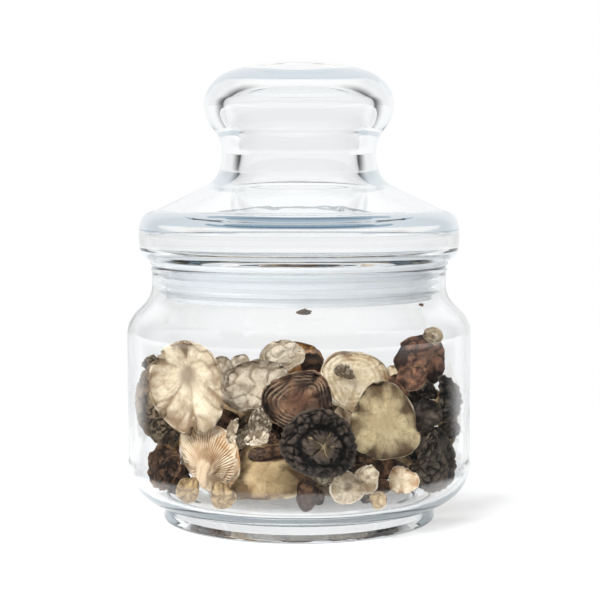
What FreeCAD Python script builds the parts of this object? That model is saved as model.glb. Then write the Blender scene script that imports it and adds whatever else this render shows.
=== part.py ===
import FreeCAD, Part
import Sketcher
import math
import os
import re

# A storage jar of clear glass: a jar, a hollow lid with a knob that is blown in one piece with it,
# a soft sealing ring round the lid's skirt, and the dried mushrooms that the jar holds.
# Millimetres, +Z up.  The origin is the middle of the circle that the foot stands on.
# Directions round the jar are degrees from the front (-Y), turning towards the right (+X).

Vector = FreeCAD.Vector
Rotation = FreeCAD.Rotation

# ---------------------------------------------------------------------------------------------
# Driving dimensions of the glass and the ring: name, size, what it is.

GLASS_SIZES = [
    ("foot_radius", 36.5, "outside of the foot"),
    ("foot_edge", 1.2, "rounding of the foot's lower edge"),
    ("foot_ring_width", 5.0, "width of the ring that the jar stands on"),
    ("foot_hollow", 1.3, "how far the underside is pushed up inside the ring"),
    ("foot_height", 4.5, "height of the foot"),
    ("foot_taper", 0.4, "how much the foot narrows towards the body"),
    ("base_curve", 12.5, "height of the curve from the foot to the straight body"),
    ("floor_height", 6.8, "height of the jar's floor above the table"),
    ("floor_corner", 8.5, "width and height of the curve between the floor and the wall"),
    ("body_radius", 46.0, "outside of the straight body"),
    ("body_height", 33.0, "height of the straight body"),
    ("jar_wall", 1.5, "glass thickness of the body and the neck"),
    ("shoulder_round", 8.4, "radius of the shoulder's outer turn"),
    ("neck_round", 6.8, "radius of the turn from the shoulder into the neck"),
    ("neck_radius", 39.3, "outside of the neck"),
    ("neck_height", 5.3, "height of the straight neck with its rim"),
    ("rim_bead", 0.3, "how far the rim's bead stands out of the neck"),
    ("seat_gap", 0.1, "air left between two faces that rest on each other"),
    ("seal_flange", 1.3, "thickness of the sealing ring's flange"),
    ("seal_wall", 1.3, "thickness of the sealing ring's sleeve"),
    ("seal_depth", 9.0, "how far the sleeve hangs below the rim"),
    ("seal_lip", 1.2, "thickness of each sealing lip where it leaves the sleeve"),
    ("lip_spacing", 2.4, "distance from one sealing lip to the next"),
    ("lip_clearance", 0.3, "air between the sealing lips and the neck"),
    ("skirt_clearance", 0.15, "air between the lid's skirt and the sleeve"),
    ("seal_room", 3.8, "room for the sealing ring between the neck and the lid's skirt"),
    ("skirt_radius", "=neck_radius - jar_wall - seal_room", "outside of the lid's skirt"),
    ("skirt_wall", 2.0, "glass thickness of the skirt"),
    ("skirt_depth", 9.2, "how far the skirt hangs below the lid's flange"),
    ("flange_radius", 42.5, "outside of the lid's rolled edge"),
    ("flange_foot", 39.6, "radius where the rolled edge meets the lid's flat underside"),
    ("flange_low", 3.2, "height where the rolled edge's lower round ends above the underside"),
    ("flange_shoulder", 9.6, "height where the rolled edge's upper round begins"),
    ("flange_top", 13.2, "height where the rolled edge meets the cone"),
    ("cone_foot_radius", 38.4, "outside of the cone where it meets the rolled edge"),
    ("cone_top", 19.5, "height where the cone meets the waist"),
    ("cone_top_radius", 25.2, "outside of the cone where it meets the waist"),
    ("waist_low", 22.4, "height where the waist begins"),
    ("waist_low_radius", 21.9, "outside of the waist where it begins"),
    ("waist_high", 34.4, "height where the waist meets the knob"),
    ("waist_high_radius", 22.6, "outside of the waist where it meets the knob"),
    ("knob_middle", 41.6, "height of the widest place of the knob"),
    ("knob_radius", 25.3, "outside of the knob"),
    ("knob_shoulder", 50.0, "height of the ridge round the knob's top"),
    ("knob_top_radius", 18.5, "radius of the ridge round the knob's top"),
    ("lid_height", 53.0, "height of the knob's top above the lid's underside"),
    ("lid_wall", 1.9, "glass thickness of the lid's rolled edge"),
    ("cone_wall", 3.1, "glass thickness of the cone, measured upright"),
    ("waist_wall", 5.2, "glass thickness of the waist"),
    ("knob_wall", 5.0, "glass thickness of the knob's side"),
    ("knob_roof", 4.0, "glass thickness of the knob's top"),
]

# ---------------------------------------------------------------------------------------------
# The dried mushrooms.  Each kind is a profile from the middle of the cap's top, over the rim, under
# the cap and down the stalk.  Its points are (reach, level) in shares of half the cap's width.

CAP_WITH_ROLLED_RIM = [
    (0.00, 0.40), (0.28, 0.40), (0.60, 0.33), (0.88, 0.12), (1.00, -0.14), (0.92, -0.30),
    (0.77, -0.20), (0.60, -0.01), (0.35, 0.08), (0.19, 0.05), (0.16, -0.16), (0.14, -0.34), (0.00, -0.38),
]
FUNNEL_WITH_STALK = [
    (0.00, -0.02), (0.25, -0.01), (0.60, 0.07), (0.90, 0.16), (1.00, 0.15), (0.95, 0.05),
    (0.82, -0.04), (0.58, -0.13), (0.36, -0.22), (0.23, -0.36), (0.18, -0.60), (0.15, -0.82), (0.00, -0.86),
]
THIN_SHEET = [
    (0.00, 0.10), (0.30, 0.10), (0.65, 0.10), (0.93, 0.08), (1.00, 0.00),
    (0.93, -0.08), (0.65, -0.10), (0.30, -0.10), (0.00, -0.10),
]
THICK_LUMP = [
    (0.00, 0.30), (0.30, 0.29), (0.62, 0.25), (0.92, 0.14), (1.00, 0.00),
    (0.92, -0.14), (0.62, -0.25), (0.30, -0.29), (0.00, -0.30),
]

# kind: profile, lobes of the outline, waves of the rim, length over width, stalk's offset, stalk's lean
KINDS = {
    "shiitake": (CAP_WITH_ROLLED_RIM, 0.05, 0.04, 0.96, 0.05, 0.10),
    "oyster": (FUNNEL_WITH_STALK, 0.08, 0.08, 0.92, 0.30, 0.45),
    "sheet": (THIN_SHEET, 0.09, 0.10, 0.78, 0.00, 0.00),
    "strip": (THIN_SHEET, 0.05, 0.06, 0.42, 0.00, 0.00),
    "lump": (THICK_LUMP, 0.10, 0.10, 0.80, 0.00, 0.00),
}

# The mushrooms that lean against the glass or against a neighbour that does, in the order they are
# laid in: name, kind, width, direction, distance, height, turn, tilt, spin, curl, ways
# direction: degrees round the jar; the piece faces that way when turn is 0
# distance, height: where its middle starts, from the jar's axis and above the table
# turn, tilt, spin: degrees about the upright axis, away from upright, and about the piece's own axis
# curl: degrees by which the piece is bent over its width, down at the edges if positive
# ways: "out" moves it straight away from the axis, "slide" lets it slip aside and down as well
LEANING = [
    ("shiitake_black", "shiitake", 20.5, 7, 8, 26, 0, 90, 0, 10, "out"),
    ("strip_ridged", "strip", 13, 50, 8, 23.5, -6, 86, 55, 25, "out"),
    ("cap_olive", "sheet", 24.5, 34, 8, 30.5, -12, 84, 100, 40, "out"),
    ("shiitake_edge_left", "shiitake", 23, -80, 8, 33, -4, 88, 0, 12, "out"),
    ("cap_brown_left", "shiitake", 14, -59, 8, 17, 6, 85, 10, 20, "out"),
    ("lobe_brown", "strip", 13, -10, 12, 23, 0, 60, 10, 40, "out"),
    ("bit_grey", "lump", 7, -14, 12, 28, 0, 60, 30, 0, "out"),
    ("bit_curled", "strip", 8, -22, 12, 29.5, 0, 75, 80, 100, "out"),
    ("bit_cream_low", "sheet", 11, 19, 10, 14.5, 0, 75, 30, 60, "out"),
    ("bit_gilled_low", "sheet", 9, 30, 10, 15.5, 0, 85, 110, -50, "out"),
    ("bit_brown_low", "strip", 11, 38, 10, 12.5, 0, 70, 0, 50, "out"),
    ("oyster_cream", "oyster", 25.5, -54, 8, 37.2, 34, 84, 100, -20, "out"),
    ("oyster_gilled", "oyster", 20.5, -41, 8, 20.5, 14, 272, 60, -25, "out"),
    ("oyster_shell", "sheet", 23, -18, 8, 16.5, 4, 66, 10, 70, "out"),
    ("cap_layered", "sheet", 23, -1, 6, 35.5, -8, 62, 15, -80, "out"),
    ("shiitake_ridged", "shiitake", 20, 65, 8, 18.5, 0, 84, 30, 30, "out"),
    ("cap_dark_right", "shiitake", 15, 73, 8, 33.8, 0, 84, 80, 35, "out"),
    ("cap_red_right", "shiitake", 18, 82, 8, 43.5, -56, 66, 0, 45, "out"),
    ("shiitake_low_left", "shiitake", 19, -90, 8, 16.5, 0, 86, 50, 25, "slide"),
    ("oyster_low_right", "oyster", 19, 94, 8, 17, 0, 268, 20, -30, "slide"),
    ("oyster_high_right", "oyster", 18, 103, 8, 34, 0, 80, 120, 30, "slide"),
    ("shiitake_back_1", "shiitake", 19, 124, 8, 17, 0, 84, 10, 20, "slide"),
    ("oyster_back_1", "oyster", 18, 134, 8, 34.5, 0, 84, 210, -25, "slide"),
    ("oyster_back_2", "oyster", 19, 154, 8, 17, 0, 268, 70, 30, "slide"),
    ("shiitake_back_2", "shiitake", 18, 163, 8, 34, 0, 80, 0, 15, "slide"),
    ("sheet_back_1", "sheet", 21, 184, 8, 16.5, 0, 78, 30, 60, "slide"),
    ("oyster_back_3", "oyster", 18, 194, 8, 34, 0, 80, 290, 35, "slide"),
    ("shiitake_back_3", "shiitake", 19, 214, 8, 17, 0, 82, 40, 25, "slide"),
    ("sheet_back_2", "sheet", 19, 223, 8, 34, 0, 86, 60, -60, "slide"),
    ("oyster_back_4", "oyster", 18, 244, 8, 17, 0, 84, 130, 25, "slide"),
    ("shiitake_back_4", "shiitake", 18, 251, 8, 34, 0, 82, 20, 20, "slide"),
]

# The mushrooms that are tipped in after those from above, without a height.
# ways: "roll" lets it roll into the hollows between them, "drop" lets it sink straight down
TIPPED_IN = [
    ("shiitake_floor_1", "shiitake", 24, 60, 10, 0, 8, 0, 10, "roll"),
    ("oyster_floor_1", "oyster", 21, 185, 14, 0, 175, 40, 15, "roll"),
    ("sheet_floor", "sheet", 21, -50, 10, 0, 15, 60, 40, "roll"),
    ("shiitake_core_1", "shiitake", 21, -120, 10, 0, 170, 0, 15, "roll"),
    ("oyster_core_1", "oyster", 21, 115, 10, 0, 15, 90, 20, "roll"),
    ("lump_core_1", "lump", 18, 15, 10, 0, 30, 20, 0, "roll"),
    ("sheet_core_1", "sheet", 22, 230, 10, 0, 20, 30, 60, "roll"),
    ("oyster_core_2", "oyster", 21, 70, 10, 0, 165, 30, 20, "roll"),
    ("shiitake_core_2", "shiitake", 20, 165, 10, 0, 20, 30, 20, "roll"),
    ("oyster_core_3", "oyster", 20, -85, 10, 0, 160, 130, 25, "roll"),
    ("sheet_core_2", "sheet", 21, 10, 9, 0, 20, 80, 50, "roll"),
    ("cap_curled", "sheet", 15, -34, 22, 10, 70, 20, -70, "roll"),
    ("oyster_grey", "oyster", 18, -52, 14, 50, 60, 20, 40, "roll"),
    ("sheet_folded", "sheet", 14, -50, 6, 30, 70, 20, 100, "drop"),
    ("cap_orange_gills", "oyster", 14, 175, 6, 180, 75, 0, 40, "drop"),
    ("lump_core_2", "lump", 18, 75, 13, 0, 20, 40, 0, "roll"),
    ("slice_cream", "oyster", 20, 61, 17, -58, 60, 100, 30, "drop"),
    ("shiitake_top_back", "shiitake", 20, 180, 24, 0, 20, 0, 20, "roll"),
    ("oyster_top_left", "oyster", 18, 262, 24, 0, 30, 10, 25, "roll"),
    ("sheet_top_right", "sheet", 19, 115, 24, 0, 25, 60, 40, "roll"),
]

SECTIONS = 18
DEGREE = 3

# How steeply a piece slips past its neighbours: outwards against sideways, and down against level.
SLIP = 0.4


def make_sheet(document):
    """The spreadsheet that holds every driving dimension, one row each, with its name as alias."""
    sheet = document.addObject("Spreadsheet::Sheet", "Sizes")
    rows = [(name, size) for name, size, meaning in GLASS_SIZES]
    rows += [(row[0] + "_width", row[2]) for row in LEANING + TIPPED_IN]
    for number, (name, size) in enumerate(rows, start=1):
        sheet.set("A%d" % number, name)
        sheet.set("B%d" % number, str(size))
        sheet.setAlias("B%d" % number, name)
    document.recompute()
    return sheet


def bound(expression):
    """The same expression with each dimension's name, which holds a _, pointed at the spreadsheet."""
    return re.sub(r"([a-z]+_[a-z_]+)", r"Sizes.\1", expression)


def dome(rise, radius):
    """Bulge of an arc from the axis to a radius that is level where it meets the axis."""
    return "(sqrt((%s) ^ 2 + (%s) ^ 2) - (%s)) / (%s)" % (rise, radius, radius, rise)


# Heights of the jar, as expressions of the driving dimensions.
QUARTER_TURN = 0.4142
EIGHTH_TURN = 0.1989
SLANT = 0.7071
INSET = 0.2929
BODY_BOTTOM = "(foot_height + base_curve)"
BODY_TOP = "(foot_height + base_curve + body_height)"
ROUNDS = "(shoulder_round + neck_round)"
STEP_IN = "(body_radius - neck_radius - %s * %s)" % (INSET, ROUNDS)
NECK_BOTTOM = "(%s + %s * %s + %s)" % (BODY_TOP, SLANT, ROUNDS, STEP_IN)
RIM_TOP = "(%s + neck_height)" % NECK_BOTTOM
RIM_ROUND = "((jar_wall + rim_bead) / 2)"
NECK_INSIDE = "(neck_radius - jar_wall)"
BODY_INSIDE = "(body_radius - jar_wall)"
SEAL_BOTTOM = "(%s - seal_depth)" % RIM_TOP
SEAL_SEAT = "(%s + seat_gap)" % RIM_TOP
SEAL_TOP = "(%s + seal_flange)" % SEAL_SEAT
LID_SEAT = "(%s + seat_gap)" % SEAL_TOP
SLEEVE_INSIDE = "(skirt_radius + skirt_clearance)"
SLEEVE_OUTSIDE = "(%s + seal_wall)" % SLEEVE_INSIDE
LIP_RADIUS = "(%s - lip_clearance)" % NECK_INSIDE


def jar_outline():
    """Section of the jar: (radius, height, bulge of the edge that arrives there)."""
    shoulder_x = "(body_radius - %s * shoulder_round)" % INSET
    shoulder_z = "(%s + %s * shoulder_round)" % (BODY_TOP, SLANT)
    throat_x = "(neck_radius + %s * neck_round)" % INSET
    throat_z = "(%s - %s * neck_round)" % (NECK_BOTTOM, SLANT)
    inner_shift = "%s * jar_wall" % SLANT
    inner_shoulder_x = "(%s - %s)" % (shoulder_x, inner_shift)
    inner_shoulder_z = "(%s - %s)" % (shoulder_z, inner_shift)
    inner_throat_x = "(%s - %s)" % (throat_x, inner_shift)
    inner_throat_z = "(%s - %s)" % (throat_z, inner_shift)
    ring_inside = "(foot_radius - foot_ring_width)"
    bead_low = "(%s - 2 * %s)" % (RIM_TOP, RIM_ROUND)
    return [
        ("0", "foot_hollow", 0),
        ("%s - foot_hollow" % ring_inside, "foot_hollow", 0),
        (ring_inside, "0", 0),
        ("foot_radius - foot_edge", "0", 0),
        ("foot_radius", "foot_edge", QUARTER_TURN),
        ("foot_radius - foot_taper", "foot_height", 0),
        ("body_radius", BODY_BOTTOM, QUARTER_TURN),
        ("body_radius", BODY_TOP, 0),
        (shoulder_x, shoulder_z, EIGHTH_TURN),
        (throat_x, throat_z, 0),
        ("neck_radius", NECK_BOTTOM, -EIGHTH_TURN),
        ("neck_radius", "%s - rim_bead" % bead_low, 0),
        ("neck_radius + rim_bead", "%s - %s" % (RIM_TOP, RIM_ROUND), 0),
        (NECK_INSIDE, "%s - %s" % (RIM_TOP, RIM_ROUND), 1),
        (NECK_INSIDE, NECK_BOTTOM, 0),
        (inner_throat_x, inner_throat_z, EIGHTH_TURN),
        (inner_shoulder_x, inner_shoulder_z, 0),
        (BODY_INSIDE, BODY_TOP, -EIGHTH_TURN),
        (BODY_INSIDE, "floor_height + floor_corner", 0),
        ("%s - floor_corner" % BODY_INSIDE, "floor_height", -QUARTER_TURN),
        ("0", "floor_height", 0),
    ]


def seal_outline():
    """Section of the sealing ring: a flange over the rim, a sleeve and three sealing lips."""
    outline = [
        (SLEEVE_INSIDE, SEAL_BOTTOM, 0),
        (SLEEVE_OUTSIDE, SEAL_BOTTOM, 0),
    ]
    for lip in range(3):
        root = "%s + seal_lip + %d * lip_spacing" % (SEAL_BOTTOM, lip)
        outline.append((SLEEVE_OUTSIDE, root, 0))
        outline.append((LIP_RADIUS, "%s + seal_lip" % root, 0))
        outline.append((SLEEVE_OUTSIDE, "%s + seal_lip" % root, 0))
    outline.append((SLEEVE_OUTSIDE, SEAL_SEAT, 0))
    outline.append(("neck_radius - seat_gap", SEAL_SEAT, 0))
    outline.append(("neck_radius - seat_gap", SEAL_TOP, 1))
    outline.append((SLEEVE_INSIDE, SEAL_TOP, 0))
    return outline


def lid_outline():
    """Section of the lid: the outside from the knob's top down, the skirt, and the hollow inside."""
    def above(height):
        return "%s + %s" % (LID_SEAT, height)

    skirt_inside = "(skirt_radius - skirt_wall)"
    skirt_end = "%s - skirt_depth" % LID_SEAT
    knob_rise = "(lid_height - knob_shoulder)"
    knob_dome = dome(knob_rise, "knob_top_radius")
    hollow_dome = dome(knob_rise, "knob_top_radius - knob_wall")
    return [
        ("0", above("lid_height"), 0),
        ("knob_top_radius", above("knob_shoulder"), "-" + knob_dome),
        ("knob_radius", above("knob_middle"), -0.30),
        ("waist_high_radius", above("waist_high"), -0.20),
        ("waist_low_radius", above("waist_low"), 0.28),
        ("cone_top_radius", above("cone_top"), 0.16),
        ("cone_foot_radius", above("flange_top"), 0),
        ("flange_radius", above("flange_shoulder"), -0.36),
        ("flange_radius", above("flange_low"), -0.10),
        ("flange_foot", LID_SEAT, -0.40),
        ("skirt_radius", LID_SEAT, 0),
        ("skirt_radius", "%s + skirt_wall / 2" % skirt_end, 0),
        (skirt_inside, "%s + skirt_wall / 2" % skirt_end, -1),
        (skirt_inside, LID_SEAT, 0),
        ("%s + lid_wall" % skirt_inside, above("lid_wall"), QUARTER_TURN),
        ("flange_foot - lid_wall", above("lid_wall"), 0),
        ("flange_radius - lid_wall", above("flange_low"), 0.30),
        ("flange_radius - lid_wall", above("flange_shoulder - lid_wall"), 0.08),
        ("cone_foot_radius - lid_wall", above("flange_top - cone_wall"), 0.30),
        ("cone_top_radius - lid_wall", above("cone_top - cone_wall"), 0),
        ("waist_low_radius - waist_wall", above("waist_low"), -0.16),
        ("waist_high_radius - waist_wall", above("waist_high"), -0.24),
        ("knob_radius - knob_wall", above("knob_middle"), 0.20),
        ("knob_top_radius - knob_wall", above("knob_shoulder - knob_roof"), 0.34),
        ("0", above("lid_height - knob_roof"), hollow_dome),
    ]


def place_point(sketch, geometry, end, x_expression, z_expression):
    """Hold one point of a sketch at a radius and a height that follow the spreadsheet."""
    for kind, axis, expression in (("DistanceX", -2, x_expression), ("DistanceY", -1, z_expression)):
        value = sketch.evalExpression(bound(expression))
        if value == 0:
            sketch.addConstraint(Sketcher.Constraint("PointOnObject", geometry, end, axis))
            continue
        index = sketch.addConstraint(Sketcher.Constraint(kind, -1, 1, geometry, end, value))
        sketch.setExpression("Constraints[%d]" % index, bound(expression))


def draw_outline(sketch, outline):
    """Draw a closed outline of lines and arcs.  A bulge is the arc's rise over half its chord."""
    POINT = 1
    count = len(outline)
    corners = []
    for x, z, bulge in outline:
        corners.append(Vector(sketch.evalExpression(bound(x)), sketch.evalExpression(bound(z)), 0))
    edges = []
    for number in range(count):
        first = corners[number]
        last = corners[(number + 1) % count]
        x0, z0 = outline[number][:2]
        x1, z1, bulge = outline[(number + 1) % count]
        if bulge == 0:
            edges.append(sketch.addGeometry(Part.LineSegment(first, last), False))
            continue
        middle_x = "((%s) + (%s) + (%s) * ((%s) - (%s))) / 2" % (x0, x1, bulge, z1, z0)
        middle_z = "((%s) + (%s) - (%s) * ((%s) - (%s))) / 2" % (z0, z1, bulge, x1, x0)
        middle = Vector(sketch.evalExpression(bound(middle_x)), sketch.evalExpression(bound(middle_z)), 0)
        arc = sketch.addGeometry(Part.Arc(first, middle, last), False)
        point = sketch.addGeometry(Part.Point(middle), True)
        sketch.addConstraint(Sketcher.Constraint("PointOnObject", point, POINT, arc))
        place_point(sketch, point, POINT, middle_x, middle_z)
        edges.append(arc)
    for number in range(count):
        first = corners[number]
        start = end_at(sketch, edges[number], first)
        x, z, bulge = outline[number]
        place_point(sketch, edges[number], start, x, z)
        before = end_at(sketch, edges[number - 1], first)
        meeting = Sketcher.Constraint("Coincident", edges[number - 1], before, edges[number], start)
        sketch.addConstraint(meeting)


def end_at(sketch, edge, corner):
    """Which end of a sketch's edge lies at a corner: 1 for its start, 2 for its end."""
    START, END = 1, 2
    if sketch.getPoint(edge, START).distanceToPoint(corner) < 1e-6:
        return START
    return END


def make_turned_body(document, name, outline):
    """A body turned about the upright axis from its section."""
    body = document.addObject("PartDesign::Body", name)
    body.Label = name
    sketch = body.newObject("Sketcher::SketchObject", name + "_section")
    upright_plane = [plane for plane in body.Origin.OriginFeatures if plane.Role == "XZ_Plane"][0]
    sketch.AttachmentSupport = [(upright_plane, "")]
    sketch.MapMode = "FlatFace"
    draw_outline(sketch, outline)
    revolution = body.newObject("PartDesign::Revolution", name + "_turned")
    revolution.Profile = sketch
    revolution.ReferenceAxis = (sketch, ["V_Axis"])
    revolution.Angle = 360
    document.recompute()
    return body


# ---------------------------------------------------------------------------------------------
# Mushrooms

def cap_cage(kind, width, curl, variety):
    """Control points of one mushroom: a ring of points for each point of its profile."""
    profile, lobes, waves, length, offset, lean = KINDS[kind]
    half = width / 2
    rows = []
    for reach, level in profile:
        row = []
        for section in range(SECTIONS):
            angle = 2 * math.pi * section / SECTIONS
            lobe = lobes * (math.cos(2 * angle + variety) + 0.7 * math.cos(3 * angle + 2.3 * variety))
            wave = waves * (math.cos(2 * angle + 1.7 * variety) + 0.6 * math.cos(4 * angle + 3.1 * variety))
            slide = offset * (1 - reach) + lean * max(0, -0.3 - level)
            x = half * (reach * (1 + lobe) * math.cos(angle) + slide)
            y = half * reach * (1 + lobe) * length * math.sin(angle)
            z = half * (level + wave * reach ** 3)
            row.append(bend(Vector(x, y, z), width, curl))
        rows.append(row)
    return rows


def bend(point, width, curl):
    """Roll a point of a flat sheet about the Y axis, so that the sheet turns by curl over its width."""
    if curl == 0:
        return point
    radius = width / math.radians(curl)
    turn = point.x / radius
    return Vector((radius + point.z) * math.sin(turn), point.y, (radius + point.z) * math.cos(turn) - radius)


def skin(rows):
    """The smooth closed surface that follows the rings of control points."""
    count = len(rows)
    surface = Part.BSplineSurface()
    along = list(range(count - DEGREE + 1))
    along_repeats = [DEGREE + 1] + [1] * (count - DEGREE - 1) + [DEGREE + 1]
    around = list(range(SECTIONS + 1))
    around_repeats = [1] * (SECTIONS + 1)
    surface.buildFromPolesMultsKnots(
        rows, along_repeats, around_repeats, along, around, False, True, DEGREE, DEGREE)
    return surface


def solid_from(surface):
    """The solid inside a closed surface, with its skin in four faces that share their edges."""
    first, last, low, high = surface.bounds()
    rim = (first + last) / 2
    side = (low + high) / 2
    faces = []
    for start, end in ((first, rim), (rim, last)):
        for left, right in ((low, side), (side, high)):
            patch = surface.copy()
            patch.segment(start, end, left, right)
            faces.append(patch.toShape())
    shell = Part.Shell(faces)
    shell.sewShape()
    solid = Part.Solid(shell)
    if solid.Volume < 0:
        solid.reverse()
    return solid


def spots_on(surface, spacing):
    """Points spread over a surface, about one spacing apart, on rings between its two poles."""
    first, last, low, high = surface.bounds()
    steps = int(surface.vIso(low).length() / spacing) + 2
    spots = []
    for step in range(steps):
        ring = surface.uIso(first + (last - first) * (step + 0.5) / steps)
        around = int(ring.length() / spacing) + 4
        for number in range(around):
            spots.append(ring.value(low + (high - low) * number / around))
    return spots


class Heap:
    """The space inside the jar, and what already lies in it, kept as the set of filled cells."""

    CELL = 0.3
    AIR = 0.3
    SPACING = 0.6
    STRIDE = 0.6
    NUDGE = 0.1
    SKIP_COUNT = 6
    OFFSET_COUNT = 1000

    def __init__(self, size):
        self.wall = size("body_radius") - size("jar_wall") - self.AIR
        self.floor = size("floor_height") + self.AIR
        self.corner = size("floor_corner")
        self.top = self.floor
        self.filled = set()
        reach = int(self.AIR / self.CELL) + 1
        span = range(-reach, reach + 1)
        self.around = [(i, j, k) for i in span for j in span for k in span
                       if math.sqrt(i * i + j * j + k * k) * self.CELL <= self.AIR + self.CELL / 2]

    def inside_radius(self, height):
        """Radius of the free space at a height, from the floor's corner up to the straight wall."""
        rise = self.floor + self.corner - height
        if rise <= 0:
            return self.wall
        return self.wall - self.corner + math.sqrt(max(0, self.corner * self.corner - rise * rise))

    def is_free(self, spots, place):
        """Whether a piece has room with its middle at a place."""
        levels = {}
        filled = self.filled
        floor = self.floor
        scale = 1 / self.CELL
        offset = self.OFFSET_COUNT
        for number, (x, y, z) in enumerate(spots):
            x += place.x
            y += place.y
            z += place.z
            level = int(z)
            if level not in levels:
                levels[level] = self.inside_radius(level) ** 2
            cell = (int(x * scale + offset), int(y * scale + offset), int(z * scale + offset))
            if z < floor or cell in filled or x * x + y * y > levels[level]:
                # the spot that met something is looked at first next time
                spots.insert(0, spots.pop(number))
                return False
        return True

    def move(self, spots, start, ways):
        """Move a piece the first way that has room until no way has any: in strides, then in nudges.

        The strides look at a few of the spots only, so the piece then steps back to the last place
        where all of them are free.
        """
        path = self.walk(spots[::self.SKIP_COUNT], start, ways, self.STRIDE)
        while len(path) > 1 and not self.is_free(spots, path[-1]):
            path.pop()
        return self.walk(spots, path[-1], ways, self.NUDGE)[-1]

    def walk(self, spots, start, ways, stride):
        """The places that a piece passes, each one stride from the last."""
        path = [start]
        moving = True
        while moving:
            moving = False
            for way in ways:
                ahead = path[-1] + way * stride
                if self.is_free(spots, ahead):
                    path.append(ahead)
                    moving = True
                    break
        return path

    def add(self, spots, place):
        """Keep the cells round a placed piece for itself."""
        scale = 1 / self.CELL
        offset = self.OFFSET_COUNT
        cells = set()
        for x, y, z in spots:
            x += place.x
            y += place.y
            z += place.z
            self.top = max(self.top, z)
            cells.add((int(x * scale + offset), int(y * scale + offset), int(z * scale + offset)))
        for i, j, k in cells:
            self.filled.update([(i + di, j + dj, k + dk) for di, dj, dk in self.around])


def make_mushroom(document, heap, sheet, variety, name, kind, curl, turning, start, ways):
    """Shape one mushroom, turn it, move it from its start to its seat and add it to the document.

    A start without a height is just above the heap.
    """
    surface = skin(cap_cage(kind, sheet.get(name + "_width"), curl, variety))
    middle = surface.toShape().BoundBox.Center
    spots = [tuple(turning.multVec(spot - middle)) for spot in spots_on(surface, heap.SPACING)]
    below = -min(spot[2] for spot in spots)
    if start.z == 0:
        start = start + Vector(0, 0, heap.top + heap.STRIDE + below)
    else:
        start.z = max(start.z, heap.floor + below)
    place = heap.move(spots, start, ways)
    heap.add(spots, place)
    feature = document.addObject("Part::Feature", name)
    feature.Label = name
    feature.Shape = solid_from(surface)
    feature.Placement = FreeCAD.Placement(place - turning.multVec(middle), turning)
    return feature


def facing(direction, tilt, spin):
    """The turning that spins a piece about its own axis, tilts it and points it in a direction."""
    turning = Rotation(Vector(0, 0, 1), direction)
    turning = turning * Rotation(Vector(1, 0, 0), tilt)
    return turning * Rotation(Vector(0, 0, 1), spin)


def outward(direction):
    """The level direction that points away from the jar's axis."""
    angle = math.radians(direction)
    return Vector(math.sin(angle), -math.cos(angle), 0)


def make_heap(document, sheet):
    """The mushrooms: first those that lean on the glass, then those tipped in between and on top."""
    heap = Heap(sheet.get)
    down = Vector(0, 0, -1)
    rolling = [down] + [down * SLIP + outward(turn) for turn in range(0, 360, 45)]
    features = []
    variety = 0
    for name, kind, width, direction, distance, height, turn, tilt, spin, curl, moves in LEANING:
        variety += 1
        out = outward(direction)
        aside = outward(direction + 90)
        slips = [out, out * SLIP + aside, out * SLIP - aside, down]
        ways = {"out": [out], "slide": slips}[moves]
        start = out * distance + Vector(0, 0, height)
        turning = facing(direction + turn, tilt, spin)
        features.append(make_mushroom(document, heap, sheet, variety, name, kind, curl, turning, start, ways))
    for name, kind, width, direction, distance, turn, tilt, spin, curl, moves in TIPPED_IN:
        variety += 1
        ways = {"roll": rolling, "drop": [down]}[moves]
        start = outward(direction) * distance
        turning = facing(direction + turn, tilt, spin)
        features.append(make_mushroom(document, heap, sheet, variety, name, kind, curl, turning, start, ways))
    return features


def check(document, pieces):
    """Stop if any object failed, or if any piece has no sound solid."""
    for thing in document.Objects:
        if "Invalid" in thing.State or "Error" in thing.State:
            raise RuntimeError("%s failed: %s" % (thing.Label, thing.State))
    for piece in pieces:
        if piece.Shape.isNull() or not piece.Shape.isValid() or piece.Shape.Volume <= 0:
            raise RuntimeError("%s has no sound solid" % piece.Label)


document = FreeCAD.newDocument("HerbKeeper")
sheet = make_sheet(document)
pieces = [
    make_turned_body(document, "jar", jar_outline()),
    make_turned_body(document, "seal_ring", seal_outline()),
    make_turned_body(document, "lid", lid_outline()),
]
pieces += make_heap(document, sheet)
document.recompute()
check(document, pieces)
os.makedirs("parts", exist_ok=True)
for piece in pieces:
    piece.Shape.exportStep("parts/%s.step" % piece.Label)
    box = piece.Shape.BoundBox
    print("%-20s z %.1f to %.1f, volume %.0f" % (piece.Label, box.ZMin, box.ZMax, piece.Shape.Volume))
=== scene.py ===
# %% [markdown]
# # Dressing a glass herb keeper
# The keeper is a small pressed-glass jar with a wide mouth, a blown glass lid with a round hollow
# knob, and a clear plastic ring that seals one to the other. It is half full of dried mushrooms.
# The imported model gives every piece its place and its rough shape. This lesson makes the glass
# round and clear, and gives each mushroom its folds, gills, wrinkles and colours.

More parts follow.
